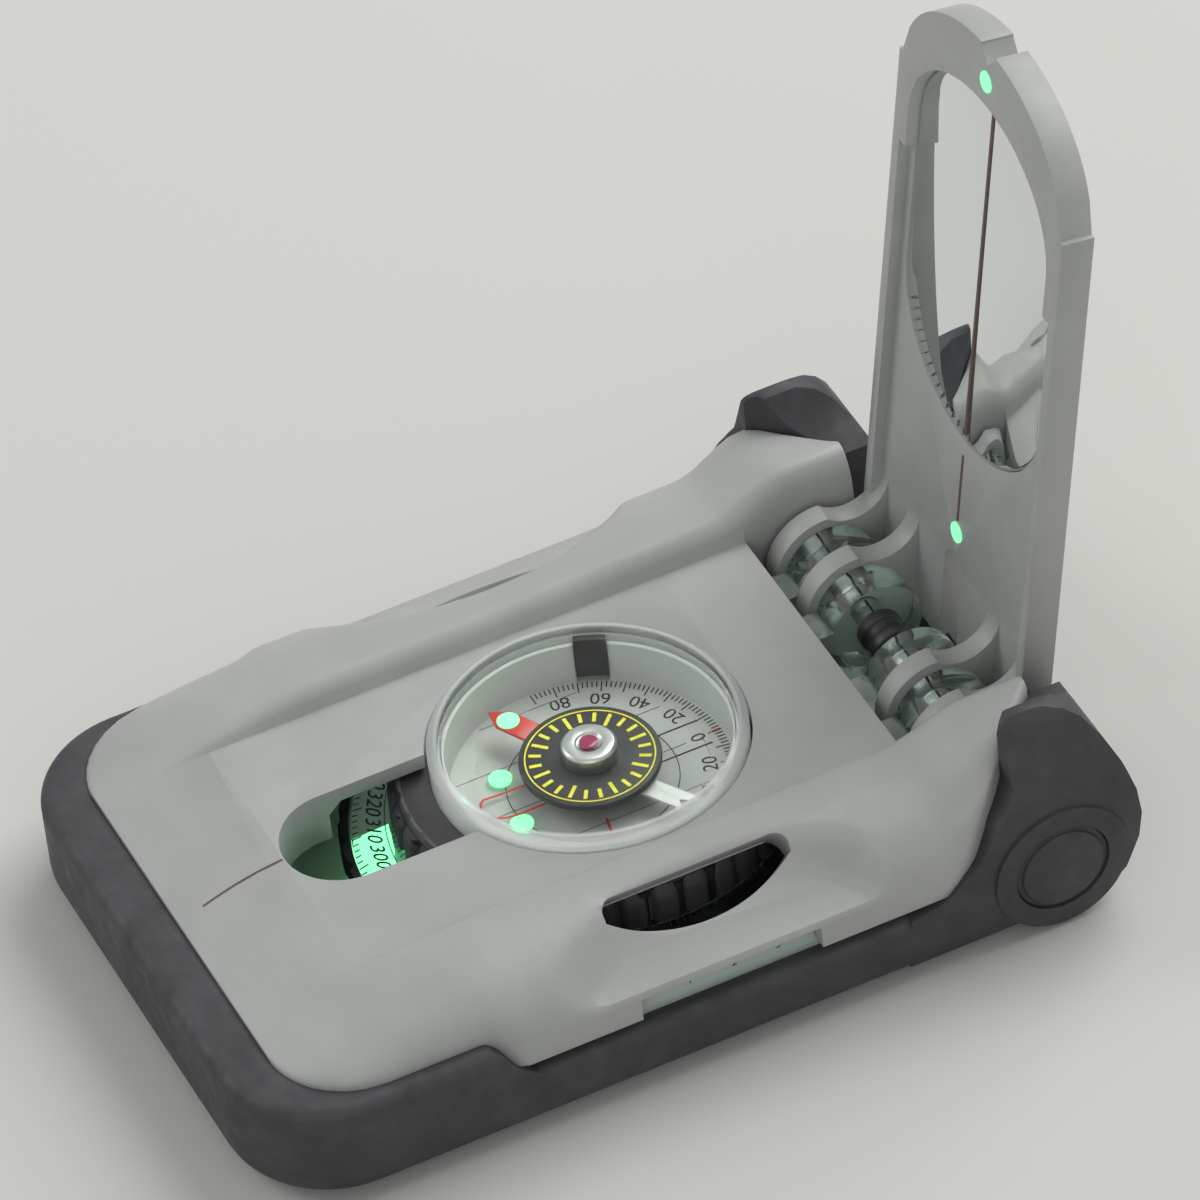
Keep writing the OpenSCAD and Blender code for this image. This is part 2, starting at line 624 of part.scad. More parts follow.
module needle_tip() {
    root = disc_r - 0.1;
    color("#c8382c") rotate([0, 0, needle_az]) difference() {
        translate([0, 0, needle_layer + 0.2]) linear_extrude(0.3)
            polygon([[root - 1, -1.35], [needle_reach - 2, -1.35], [needle_reach, 0],
                     [needle_reach - 2, 1.35], [root - 1, 1.35]]);
        translate([0, 0, needle_layer - 1]) cylinder(r = disc_r + seat, h = 4, $fn = 96);
    }
}

module needle_dot() {
    color("#b8ffd8") rotate([0, 0, needle_az]) translate([10.6, 0, needle_layer + 0.5])
        cylinder(r = 1.2, h = 0.12, $fn = 32);
}

// Hub that carries the jewel over the post
module needle_hub() {
    z0 = needle_layer + needle_t;
    color("#d9dcde") difference() {
        rotate_extrude($fn = 64) polygon([[0, z0], [hub_r, z0], [hub_r, hub_top - 0.3], [hub_r - 0.3, hub_top],
            [1.5, hub_top], [1.3, hub_top - 0.25], [0, hub_top - 0.25]]);
        translate([0, 0, z0 - 1]) cylinder(r = pivot_run, h = 4, $fn = 32);
    }
}

module needle_jewel() {
    color("#a8245a") translate([0, 0, hub_top - 0.24]) difference() {
        cylinder(r = 0.97, h = 0.34, $fn = 32);
        translate([0, 0, -0.2]) cylinder(r1 = 0.3, r2 = 0.08, h = 0.3, $fn = 32);
    }
}

module clinometer_pointer() {
    color("#c9ccca") rotate([0, 0, clino_az]) translate([0, 0, clino_layer]) linear_extrude(leaf_t) difference() {
        union() {
            circle(1.4);
            polygon([[0.5, -1.1], [12, -1.4], [11, -0.3], [12.7, 0.4], [12.4, 1.05], [0.5, 1.1]]);
        }
        circle(pivot_run, $fn = 32);
    }
}

// Put a piece drawn closed, with the lid along -Y, to its place on the hinge
module lid_pose() {
    translate([0, hinge_y, hinge_z]) rotate(a = lid_open, v = [-1, 0, 0]) children();
}

// Outline of the lid, less an inset all round: a small step, then a rounded tip
module lid_outline(inset) {
    w = lid_half - inset;
    tw = tip_w - inset;
    h = lid_reach - tip_s - inset;
    polygon(concat([[w, -lid_s0], [-w, -lid_s0], [-w, -tip_s - 1.6], [-tw, -tip_s - 1.6]],
        [for (k = [4:32]) let (t = 180 * k / 36) [-tw * cos(t), -tip_s - h * pow(sin(t), 0.9)]],
        [[tw, -tip_s - 1.6], [w, -tip_s - 1.6]]));
}

module mirror_outline(inset) {
    w = mirror_w / 2 - inset;
    top_c = mirror_s1 - 11.5;
    low_c = mirror_s0 + 13;
    polygon(concat(
        [for (k = [0:36]) let (t = 180 * k / 36) [-w * cos(t), -top_c - (11.5 - inset) * pow(sin(t), 0.95)]],
        [for (k = [0:36]) let (t = 180 * k / 36) [w * cos(t), -low_c + (13 - inset) * sin(t)]]));
}

// Hook seen along the hinge axis: closed lid lies to the left, at lid_off up
module hook_profile() {
    r = knuckle_r + 0.9;
    difference() {
        union() {
            circle(r);
            translate([-5.2, 0]) square([7, lid_off + 0.5]);
            translate([-9.4, lid_off - 4]) square([5, 4.5]);
        }
        translate([-9.5, lid_off - 4.3]) circle(4.3);
        translate([-20, -9]) square([9, 40]);
    }
}

module lid_frame() {
    color("#b4b6b4") lid_pose() difference() {
        union() {
            translate([0, 0, lid_off]) linear_extrude(plate_lid_t) lid_outline(0);
            translate([0, 0, lid_off - flange_h]) linear_extrude(flange_h + 0.01) difference() {
                lid_outline(0);
                lid_outline(flange_t);
                translate([-50, -6]) square([100, 60]);
            }
            translate([0, 0, lid_off - flange_h]) linear_extrude(flange_h + 0.01) difference() {
                lid_outline(0);
                translate([-50, -hinge_y - capsule_r - 1.3]) square([100, 100]);
            }
            mirror_pair() for (x = hook_x) along_x(x, x + hook_w) hook_profile();
        }
        along_x(-half_w, half_w) circle(pin_r + run, $fn = 48);
        translate([0, 0, lid_off - 2]) linear_extrude(glass_depth + 2 + seat) mirror_outline(-seat);
        translate([0, 0, lid_off - 5]) linear_extrude(20) {
            translate([-2, -8.6]) square([4, 20]);
            translate([0, -8.6]) circle(2);
        }
        translate([0, -lid_reach, lid_off - 5]) linear_extrude(20)
            polygon([[-1.6, -1], [1.6, -1], [1.5, 0.3], [0, 2], [-1.5, 0.3]]);
        for (k = [0, 1]) translate([0, -dot_s[k], dot_n[k] - 3]) cylinder(r = dot_r + seat, h = 3.8, $fn = 32);
    }
}

// Sight dots lie between the notch and the mirror, and above the sighting slot
dot_s = [lid_reach - 4, 13.4];
dot_n = [lid_off - flange_h, lid_off];

module mirror_glass() {
    color("#c8cdd0") lid_pose() translate([0, 0, lid_off + 0.1]) linear_extrude(glass_depth - 0.1) mirror_outline(0);
}

module sight_dot(k) {
    color("#b8ffd8") lid_pose() translate([0, -dot_s[k], dot_n[k] - 0.1]) cylinder(r = dot_r, h = 0.85, $fn = 32);
}

top_housing();
clear_base();
rubber_bumper();
left_side_cap();
right_side_cap();
base_screws();
window_light_pad();
hinge_pin();
hinge_spacer();
capsule_shell();
capsule_face();
filler_plug();
pivot_post();
north_dots();
drive_ring();
scale_ring();
grip_ring();
declination_disc();
needle_disc();
needle_tip();
needle_dot();
needle_hub();
needle_jewel();
clinometer_pointer();
lid_frame();
mirror_glass();  // mirror
sight_dot(0);  // upper_sight_dot
sight_dot(1);  // lower_sight_dot
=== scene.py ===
import json
import math
from math import cos, radians, sin

import bmesh
import bpy
from mathutils import Matrix, Vector


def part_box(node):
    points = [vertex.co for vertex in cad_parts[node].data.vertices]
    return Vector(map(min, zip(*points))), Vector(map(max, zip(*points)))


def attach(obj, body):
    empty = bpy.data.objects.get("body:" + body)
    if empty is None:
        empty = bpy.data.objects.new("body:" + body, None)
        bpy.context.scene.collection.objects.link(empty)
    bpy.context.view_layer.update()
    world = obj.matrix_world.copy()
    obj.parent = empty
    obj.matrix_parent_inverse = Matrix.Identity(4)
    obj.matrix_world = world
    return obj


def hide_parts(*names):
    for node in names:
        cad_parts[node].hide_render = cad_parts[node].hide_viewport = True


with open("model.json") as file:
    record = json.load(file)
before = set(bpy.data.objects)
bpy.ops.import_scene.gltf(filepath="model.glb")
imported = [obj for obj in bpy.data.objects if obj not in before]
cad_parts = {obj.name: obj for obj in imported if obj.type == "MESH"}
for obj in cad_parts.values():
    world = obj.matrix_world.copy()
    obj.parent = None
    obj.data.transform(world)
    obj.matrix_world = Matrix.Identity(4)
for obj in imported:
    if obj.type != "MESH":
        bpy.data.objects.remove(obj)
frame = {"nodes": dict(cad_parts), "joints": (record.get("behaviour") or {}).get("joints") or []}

bl_info = {
    "name": "Mirror Compass",
    "version": (1, 0, 0),
    "blender": (4, 5, 0),
    "location": "View3D > Sidebar > Compass",
    "description": "Surfaces, prints and studio for a folding mirror compass",
    "category": "Object",
}

MM = 0.001

NODES = frame["nodes"]
LID_JOINT = next(joint for joint in frame["joints"] if joint["name"] == "lid_hinge")
HINGE = Vector(LID_JOINT["pos_m"])
# Marks on the lid are drawn with it closed, along -Y from the hinge, then turned up with this
LID_UP = (Matrix.Translation(HINGE)
          @ Matrix.Rotation(radians(-LID_JOINT["range_deg"][0]), 4, Vector((-1, 0, 0))))

# Sizes of the solids that the prints follow, in millimetres.
# Height of the deck, and where, over how far and by how much it falls to the nose
DECK_Z = 16.8
NOSE_Y, NOSE_RUN, NOSE_DROP = -32.65, 14.2, 3.4
# Radius and height of the inner and outer edge of the clear cone that bears the azimuth scale
CONE_INNER, CONE_OUTER = (20.65, 8.8), (25.65, 6.6)
CONE_FALL = (CONE_INNER[1] - CONE_OUTER[1]) / (CONE_OUTER[0] - CONE_INNER[0])
# The arrow's disc runs this far over the printed face
DISC_ABOVE_FACE = 0.3
# With the lid closed: its inner face over the hinge's axis, and the mirror's lower lobe by its
# half axes and its middle's distance from the hinge
LID_INNER = 6.4
MIRROR_LOBE, MIRROR_LOBE_AT = (14.9, 12.7), 38.5

# A print starts this far off its surface and is this thick, thicker than ink so that it shows
PRINT_LIFT = 0.005
PRINT_THICK = 0.03


# ---- colours and material nodes ----

def linear(hexa):
    """A written sRGB colour as the linear values that the shaders take."""
    parts = [int(hexa[i:i + 2], 16) / 255 for i in (1, 3, 5)]
    return [p / 12.92 if p <= 0.04045 else ((p + 0.055) / 1.055) ** 2.4 for p in parts] + [1]


def toned(colour, factor, lift=0.0):
    """A linear colour made darker or paler by a factor, then lifted."""
    return [min(1, c * factor + lift) for c in colour[:3]] + [1]


def add_node(tree, kind, settings=None, links=None):
    """Adds a node, sets its properties and sockets, and links its inputs."""
    node = tree.nodes.new(kind)
    for key, value in (settings or {}).items():
        if isinstance(key, int) or key in node.inputs:
            node.inputs[key].default_value = value
        else:
            setattr(node, key, value)
    for key, source in (links or {}).items():
        tree.links.new(source, node.inputs[key])
    return node


def new_material(name, sockets):
    """A material whose Principled shader starts from these socket values."""
    material = bpy.data.materials.new(name)
    material.use_nodes = True
    shader = material.node_tree.nodes["Principled BSDF"]
    for key, value in sockets.items():
        shader.inputs[key].default_value = value
    return material, material.node_tree, shader


def per_metre(millimetres):
    """Scale of a noise whose grains are this far apart."""
    return 1 / (millimetres * MM)


def grain(tree, shader, size, depth, detail=2.0):
    """Fine surface relief, with grains of size and depth in millimetres."""
    place = add_node(tree, "ShaderNodeTexCoord")
    noise = add_node(tree, "ShaderNodeTexNoise",
                     {"Scale": per_metre(size), "Detail": detail, "Roughness": 0.6},
                     {"Vector": place.outputs["Object"]})
    bump = add_node(tree, "ShaderNodeBump", {"Strength": 1.0, "Distance": depth * MM},
                    {"Height": noise.outputs["Fac"]})
    tree.links.new(bump.outputs["Normal"], shader.inputs["Normal"])
    return place


def mottled(tree, shader, place, low, high, size, socket="Base Color", contrast=(0.35, 0.65)):
    """Lets a socket wander between two values over patches of size millimetres."""
    noise = add_node(tree, "ShaderNodeTexNoise",
                     {"Scale": per_metre(size), "Detail": 3.0, "Roughness": 0.55},
                     {"Vector": place.outputs["Object"]})
    if socket == "Base Color":
        ramp = add_node(tree, "ShaderNodeValToRGB", None, {"Fac": noise.outputs["Fac"]})
        for element, colour, at in zip(ramp.color_ramp.elements, (low, high), contrast):
            element.color = colour
            element.position = at
        tree.links.new(ramp.outputs["Color"], shader.inputs[socket])
    else:
        spread = add_node(tree, "ShaderNodeMapRange",
                          {"From Min": contrast[0], "From Max": contrast[1],
                           "To Min": low, "To Max": high},
                          {"Value": noise.outputs["Fac"]})
        tree.links.new(spread.outputs["Result"], shader.inputs[socket])


# ---- the finishes ----

def moulded_grey(name, hexa):
    """Polycarbonate blend from a spark-eroded mould: a soft sheen broken by 0.3 mm grain."""
    material, tree, shader = new_material(name, {"Roughness": 0.42, "IOR": 1.5})
    place = grain(tree, shader, 0.32, 0.006)
    colour = linear(hexa)
    mottled(tree, shader, place, toned(colour, 0.93), colour, 9)
    mottled(tree, shader, place, 0.36, 0.5, 3, "Roughness")
    return material


def moulded_rubber(name, hexa):
    """Thermoplastic rubber from a blasted mould: dull, faintly dusty, grain of 0.4 mm."""
    material, tree, shader = new_material(name, {"Roughness": 0.6, "IOR": 1.5,
                                                 "Specular IOR Level": 0.45})
    place = grain(tree, shader, 0.4, 0.012, 4.0)
    colour = linear(hexa)
    mottled(tree, shader, place, colour, toned(colour, 1.5, 0.006), 6, contrast=(0.42, 0.8))
    mottled(tree, shader, place, 0.5, 0.72, 2.5, "Roughness")
    return material


def moulded_black(name, hexa, roughness):
    """Black acetal of the turning parts: satin, smoother than the rubber."""
    material, tree, shader = new_material(name, {"Roughness": roughness, "IOR": 1.48})
    place = grain(tree, shader, 0.25, 0.003)
    colour = linear(hexa)
    mottled(tree, shader, place, colour, toned(colour, 1.35, 0.003), 4)
    return material


def clear_acrylic(name, hexa, ior, shade=0.12):
    """Moulded acrylic: clear, with faint flow waves on its faces.

    Its real ior is 1.49. Where the damping liquid lies against it, light bends less on its way
    through, so a lower one stands for the two. It throws only a faint shadow, as a clear thing
    does, of the strength given as shade.
    """
    material, tree, shader = new_material(name, {"Base Color": linear(hexa), "Roughness": 0.015,
                                                 "IOR": ior, "Transmission Weight": 1.0})
    grain(tree, shader, 7, 0.003)
    path = add_node(tree, "ShaderNodeLightPath")
    cover = add_node(tree, "ShaderNodeMapRange", {"To Min": 1.0, "To Max": shade},
                     {"Value": path.outputs["Is Shadow Ray"]})
    tree.links.new(cover.outputs["Result"], shader.inputs["Alpha"])
    return material


def frosted_acrylic(name, hexa, ior, axes, start, end, clearness):
    """Acrylic whose faces are polished in one place and scatter light in another.

    The place is a distance from the dial's axis or from a plane through it, in millimetres, and
    axes picks which: (1, 1, 0) is round the axis, (0, 1, 0) along the compass. From start to end
    the share of light that goes straight through passes from the first clearness to the second.
    """
    material = clear_acrylic(name, hexa, ior)
    tree = material.node_tree
    place = add_node(tree, "ShaderNodeTexCoord")
    picked = add_node(tree, "ShaderNodeVectorMath", {"operation": "MULTIPLY", 1: axes},
                      {0: place.outputs["Object"]})
    distance = add_node(tree, "ShaderNodeVectorMath", {"operation": "LENGTH"},
                        {0: picked.outputs["Vector"]})
    share = add_node(tree, "ShaderNodeMapRange",
                     {"From Min": start * MM, "From Max": end * MM,
                      "To Min": clearness[0], "To Max": clearness[1]},
                     {"Value": distance.outputs["Value"]})
    shader = tree.nodes["Principled BSDF"]
    tree.links.new(share.outputs["Result"], shader.inputs["Transmission Weight"])
    return material


def luminous(name, hexa, strength):
    """Photoluminescent paint: chalky pale green that gives its own light."""
    glow = linear(hexa)
    material, tree, shader = new_material(name, {"Roughness": 0.7, "Emission Color": glow,
                                                 "Emission Strength": strength})
    place = grain(tree, shader, 0.2, 0.01)
    mottled(tree, shader, place, toned(glow, 0.45), toned(glow, 0.6), 0.8)
    return material


def ground_steel(name, hexa, roughness):
    """Ground and turned metal: bright, with turning marks 0.15 mm apart along X."""
    material, tree, shader = new_material(name, {"Base Color": linear(hexa), "Metallic": 1.0,
                                                 "Roughness": roughness})
    place = add_node(tree, "ShaderNodeTexCoord")
    stretch = add_node(tree, "ShaderNodeMapping",
                       {"Scale": (per_metre(0.15), per_metre(3), per_metre(3))},
                       {"Vector": place.outputs["Object"]})
    noise = add_node(tree, "ShaderNodeTexNoise", {"Scale": 1.0, "Detail": 2.0},
                     {"Vector": stretch.outputs["Vector"]})
    bump = add_node(tree, "ShaderNodeBump", {"Distance": 0.003 * MM},
                    {"Height": noise.outputs["Fac"]})
    tree.links.new(bump.outputs["Normal"], shader.inputs["Normal"])
    return material


def silvered_mirror(name, hexa):
    """Back-silvered acrylic: a true mirror with the faint ripple of sheet plastic."""
    material, tree, shader = new_material(name, {"Base Color": linear(hexa), "Metallic": 1.0,
                                                 "Roughness": 0.012})
    grain(tree, shader, 18, 0.004)
    return material


def screen_ink(name, hexa):
    """Screen-printed ink: matt, with a slightly uneven film."""
    material, tree, shader = new_material(name, {"Roughness": 0.55, "IOR": 1.5})
    place = grain(tree, shader, 0.12, 0.002)
    colour = linear(hexa)
    mottled(tree, shader, place, colour, toned(colour, 1.25, 0.004), 0.6)
    return material


def printed_sheet(name, hexa):
    """White-printed disc under the liquid: even, slightly milky."""
    material, tree, shader = new_material(name, {"Roughness": 0.5, "IOR": 1.45})
    place = grain(tree, shader, 0.5, 0.002)
    colour = linear(hexa)
    mottled(tree, shader, place, toned(colour, 0.95), colour, 5)
    return material


def enamel(name, hexa):
    """Sprayed enamel on thin metal: glossy, level, with a trace of orange peel."""
    material, tree, shader = new_material(name, {"Roughness": 0.25, "IOR": 1.52,
                                                 "Coat Weight": 0.3})
    place = grain(tree, shader, 0.6, 0.004)
    colour = linear(hexa)
    mottled(tree, shader, place, toned(colour, 0.9), colour, 2)
    return material


def polished_ruby(name, hexa):
    """Polished synthetic corundum: deep pink, glassy."""
    material, tree, shader = new_material(name, {"Base Color": linear(hexa), "Roughness": 0.04,
                                                 "IOR": 1.77, "Transmission Weight": 0.35})
    grain(tree, shader, 1.5, 0.001)
    return material


def finish_list():
    """Every finish by name: its maker, its colour, and what else that maker needs."""
    tint = bpy.context.scene.compass_colours
    return {
        "moulded_grey_shell": (moulded_grey, tint.housing),
        "moulded_grey_lid": (moulded_grey, tint.housing),
        "moulded_rubber": (moulded_rubber, tint.rubber),
        "rubber_cap": (moulded_rubber, "#3A3A3D"),
        # paler than the other black parts: painted light, lifting the shade that falls on the
        # grip inside the side windows
        "grip_rubber": (moulded_rubber, "#4A4A4D"),
        "black_acetal": (moulded_black, "#2A2A2C", 0.42),
        "needle_black": (moulded_black, "#2A2A2C", 0.45),
        # the tray's faces are frosted, the knuckles round the pin polished, and the ior is
        # below acrylic's, so that the knuckles show the pin more than they bend it
        "clear_acrylic_base": (frosted_acrylic, tint.acrylic, 1.3, (0, 1, 0), 22, 26,
                               (0.62, 0.98)),
        # the wall outside the liquid scatters light, the top over the face is clear
        "acrylic_on_liquid": (frosted_acrylic, "#F4F8F5", 1.16, (1, 1, 0), 15.3, 15.7,
                              (1.0, 0.5)),
        "acrylic_in_liquid": (clear_acrylic, "#FFFFFF", 1.03, 0.02),
        "clear_scale_ring": (clear_acrylic, "#F2FAF5", 1.12),
        "glow_paint": (luminous, tint.glow, 0.95),
        "glow_pad": (luminous, tint.glow, 1.5),
        "ground_steel": (ground_steel, "#C9CBCD", 0.22),
        "nickel_hub": (ground_steel, "#C6C8CA", 0.3),
        "silvered_mirror": (silvered_mirror, "#E9EDEC"),
        "black_ink": (screen_ink, "#1B1B1D"),
        "grey_ink": (screen_ink, "#6F7270"),
        "brown_ink": (screen_ink, "#5A4744"),
        "red_ink": (screen_ink, tint.red),
        "yellow_ink": (screen_ink, tint.yellow),
        "printed_face": (printed_sheet, "#BFC2BF"),
        "red_enamel": (enamel, tint.red),
        "pale_pointer": (enamel, "#D3D6D3"),
        "synthetic_ruby": (polished_ruby, "#B0225F"),
    }


FINISHES = {}


def finish_of(name):
    """The material of that name, made when it is first asked for."""
    if name not in FINISHES:
        maker, *values = finish_list()[name]
        FINISHES[name] = maker(name, *values)
    return FINISHES[name]


# ---- pieces ----

def to_object(name, mesh_tool, finish, body, smooth_below=35, turn=None):
    """Turns a finished bmesh into a piece of the compass that rides on a body."""
    if turn is not None:
        bmesh.ops.transform(mesh_tool, matrix=turn, verts=mesh_tool.verts)
    mesh = bpy.data.meshes.new(name)
    mesh_tool.to_mesh(mesh)
    mesh_tool.free()
    mesh.shade_smooth()
    mesh.set_sharp_from_angle(angle=radians(smooth_below))
    mesh.materials.append(finish_of(finish))
    piece = bpy.data.objects.new(name, mesh)
    bpy.context.scene.collection.objects.link(piece)
    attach(piece, body)
    return piece


def soften(mesh_tool, edges, rounding, segments):
    """Rounds edges by so many millimetres."""
    bmesh.ops.bevel(mesh_tool, geom=edges, offset=rounding * MM, offset_type="OFFSET",
                    affect="EDGES", segments=segments, profile=0.5, material=-1,
                    clamp_overlap=True)


def dressed(node, name, finish, body, rounding=0.0, sharp=32, segments=2, flat=0.4,
            smooth_below=35):
    """A merged copy of a solid, shown in its place.

    Edges sharper than sharp degrees are rounded by so many millimetres, faces that turn by less
    than flat degrees are joined first, and edges under smooth_below are shaded smooth.
    """
    mesh_tool = bmesh.new()
    mesh_tool.from_mesh(NODES[node].data)
    bmesh.ops.remove_doubles(mesh_tool, verts=mesh_tool.verts, dist=0.002 * MM)
    bmesh.ops.dissolve_limit(mesh_tool, angle_limit=radians(flat), verts=mesh_tool.verts,
                             edges=mesh_tool.edges)
    if rounding:
        hard = [edge for edge in mesh_tool.edges
                if len(edge.link_faces) == 2 and edge.calc_face_angle(0) > radians(sharp)]
        soften(mesh_tool, hard, rounding, segments)
    piece = to_object(name, mesh_tool, finish, body, smooth_below)
    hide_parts(node)


def painted(node, finish):
    """Gives a solid that is right as it is its material."""
    materials = NODES[node].data.materials
    materials.clear()
    materials.append(finish_of(finish))


def closed(mesh_tool):
    """Merges doubles and turns every face outwards."""
    bmesh.ops.remove_doubles(mesh_tool, verts=mesh_tool.verts, dist=0.0005 * MM)
    bmesh.ops.recalc_face_normals(mesh_tool, faces=mesh_tool.faces)
    return mesh_tool


# ---- marks, all in millimetres ----

def block(mesh_tool, middle, size, turn=Matrix.Identity(4)):
    """A thin block of this size about its middle, turned there."""
    place = Matrix.Translation(Vector(middle) * MM)
    bmesh.ops.create_cube(mesh_tool, size=1,
                          matrix=place @ turn @ Matrix.Diagonal((*(Vector(size) * MM), 1)))


def bar(mesh_tool, start, end, width, height=PRINT_THICK):
    """A thin straight mark from start to end, standing height above them."""
    a, b = Vector(start), Vector(end)
    along = b - a
    side = along.cross(Vector((0, 0, 1)))
    if side.length < 1e-6:  # an upright mark, as on the rule
        side = along.cross(Vector((0, 1, 0)))
    up = side.cross(along).normalized()
    side.normalize()
    turn = Matrix((along.normalized(), side, up)).transposed().to_4x4()
    block(mesh_tool, (a + b) / 2 + up * height / 2, (along.length, width, height), turn)


def on_dial(angle, radius, z):
    """The point at an angle in degrees and a radius round the dial's axis."""
    return Vector((radius * cos(radians(angle)), radius * sin(radians(angle)), z))


def radial(mesh_tool, angle, inner, outer, width):
    """A mark along a radius, from the inner to the outer (radius, height)."""
    bar(mesh_tool, on_dial(angle, *inner), on_dial(angle, *outer), width)


def spun(mesh_tool, geometry, sweep, steps):
    """Spins a few vertices and edges round the dial's axis, closing a full turn."""
    bmesh.ops.spin(mesh_tool, geom=geometry, cent=(0, 0, 0), axis=(0, 0, 1),
                   angle=radians(sweep), steps=steps, use_merge=sweep == 360,
                   use_duplicate=False)


def outline(mesh_tool, points):
    """A closed loop of vertices and edges through these points."""
    corners = [mesh_tool.verts.new(Vector(point) * MM) for point in points]
    sides = [mesh_tool.edges.new(pair) for pair in zip(corners, corners[1:] + corners[:1])]
    return corners, sides


def ring(mesh_tool, inner, outer, z, height=PRINT_THICK, start=0, sweep=360, steps=96):
    """A printed ring or arc between two radii, lying at height z."""
    corners, sides = outline(mesh_tool, (
        on_dial(start, radius, level) for radius, level in
        ((inner, z), (outer, z), (outer, z + height), (inner, z + height))))
    ends = [] if sweep == 360 else [mesh_tool.faces.new(corners)]
    spun(mesh_tool, ends + sides + corners, sweep, steps)


def grooved_ring(mesh_tool, profile, teeth, depth):
    """A ring with this closed outline of (radius, height, share) and notches round it.

    The share is how much of a notch's depth that corner of the outline gives way.
    """
    notch = (1.0, 1.0, 0.35, 0.0, 0.0, 0.0, 0.0, 0.0, 0.0, 0.35)
    steps = teeth * len(notch)
    giving = mesh_tool.verts.layers.float.new("giving")
    corners, sides = outline(mesh_tool, ((radius, 0, z) for radius, z, share in profile))
    for corner, (*_, share) in zip(corners, profile):
        corner[giving] = share
    spun(mesh_tool, corners + sides, 360, steps)
    for vert in mesh_tool.verts:
        step = round(math.atan2(vert.co.y, vert.co.x) / (2 * math.pi) * steps)
        outwards = Vector((vert.co.x, vert.co.y, 0)).normalized()
        vert.co -= outwards * depth * notch[step % len(notch)] * vert[giving] * MM
    mesh_tool.verts.layers.float.remove(giving)
    bmesh.ops.recalc_face_normals(mesh_tool, faces=mesh_tool.faces)


def figures(mesh_tool, text, size, place):
    """Plain numerals of a height, made a mesh and then put in place."""
    curve = bpy.data.curves.new("figures", "FONT")
    curve.body = text
    curve.size = size * MM / 0.7  # capitals stand 0.7 of the font's size
    curve.align_x = "CENTER"
    curve.align_y = "CENTER"
    curve.extrude = PRINT_THICK * MM / 2
    curve.resolution_u = 3
    holder = bpy.data.objects.new("figures", curve)
    bpy.context.scene.collection.objects.link(holder)
    bpy.context.view_layer.update()
    shaped = holder.evaluated_get(bpy.context.evaluated_depsgraph_get())
    mesh = bpy.data.meshes.new_from_object(shaped)
    mesh.transform(place)
    mesh_tool.from_mesh(mesh)
    bpy.data.objects.remove(holder)
    bpy.data.meshes.remove(mesh)
    bpy.data.curves.remove(curve)


def round_the_dial(angle, radius, z, slope=0.0):
    """Where a numeral stands on the dial: reading anticlockwise, its head towards the middle."""
    turn = Matrix.Rotation(radians(angle + 90), 4, "Z")
    tilt = Matrix.Rotation(slope, 4, "X")
    return Matrix.Translation(on_dial(angle, radius, z) * MM) @ turn @ tilt


# ---- sizes and colours that a user would change ----

class CompassSizes(bpy.types.PropertyGroup):
    """Sizes of the finish, in millimetres."""

    edge_round: bpy.props.FloatProperty(
        name="Edge rounding", description="Radius left on moulded edges, in mm",
        default=0.35, min=0.05, max=0.8)
    lip_round: bpy.props.FloatProperty(
        name="Rubber rounding", description="Radius on the bumper's edges, in mm",
        default=0.7, min=0.1, max=1.2)
    tick_width: bpy.props.FloatProperty(
        name="Tick width", description="Width of a printed tick, in mm",
        default=0.13, min=0.05, max=0.3)
    figure_height: bpy.props.FloatProperty(
        name="Figure height", description="Height of the scale's numerals, in mm",
        default=1.6, min=0.8, max=2.2)
    sight_width: bpy.props.FloatProperty(
        name="Sight line", description="Width of the sighting lines, in mm",
        default=0.26, min=0.1, max=0.6)


class CompassColours(bpy.types.PropertyGroup):
    """Colours of the finish, as sRGB hex."""

    housing: bpy.props.StringProperty(
        name="Housing", description="Moulded shell and lid", default="#ACAEAB")
    rubber: bpy.props.StringProperty(
        name="Rubber", description="Bumper", default="#39393C")
    acrylic: bpy.props.StringProperty(
        name="Clear base", description="Tint of the clear parts", default="#E9F7EF")
    glow: bpy.props.StringProperty(
        name="Glow", description="Luminous paint", default="#92FFBC")
    red: bpy.props.StringProperty(
        name="Red", description="Needle tip and arrow", default="#C8382C")
    yellow: bpy.props.StringProperty(
        name="Yellow", description="Marks on the needle disc", default="#D8D23A")


def sizes():
    """The panel's sizes."""
    return bpy.context.scene.compass_sizes


# ---- the compass's pieces ----

class COMPASS_OT_housing(bpy.types.Operator):
    """Moulded top shell with its sighting line"""

    bl_idname = "compass.housing"
    bl_label = "Top housing"

    def execute(self, context):
        dressed("top_housing", "top_shell", "moulded_grey_shell", "base",
                rounding=sizes().edge_round, sharp=48, flat=0.05, smooth_below=40)
        # the line runs forwards from the slot and bends down with the nose
        middle_y, length = -39.4, 9.2
        strip = bmesh.new()
        bmesh.ops.create_grid(strip, x_segments=1, y_segments=16, size=0.5)
        for vert in strip.verts:
            y = middle_y + vert.co.y * length
            drop = NOSE_DROP * max(0.0, (NOSE_Y - y) / NOSE_RUN) ** 2
            z = DECK_Z - drop + PRINT_THICK
            vert.co = Vector((vert.co.x * sizes().sight_width, y, z)) * MM
        bmesh.ops.solidify(strip, geom=list(strip.faces), thickness=0.05 * MM)
        to_object("sighting_line_front", closed(strip), "brown_ink", "base")
        return {"FINISHED"}


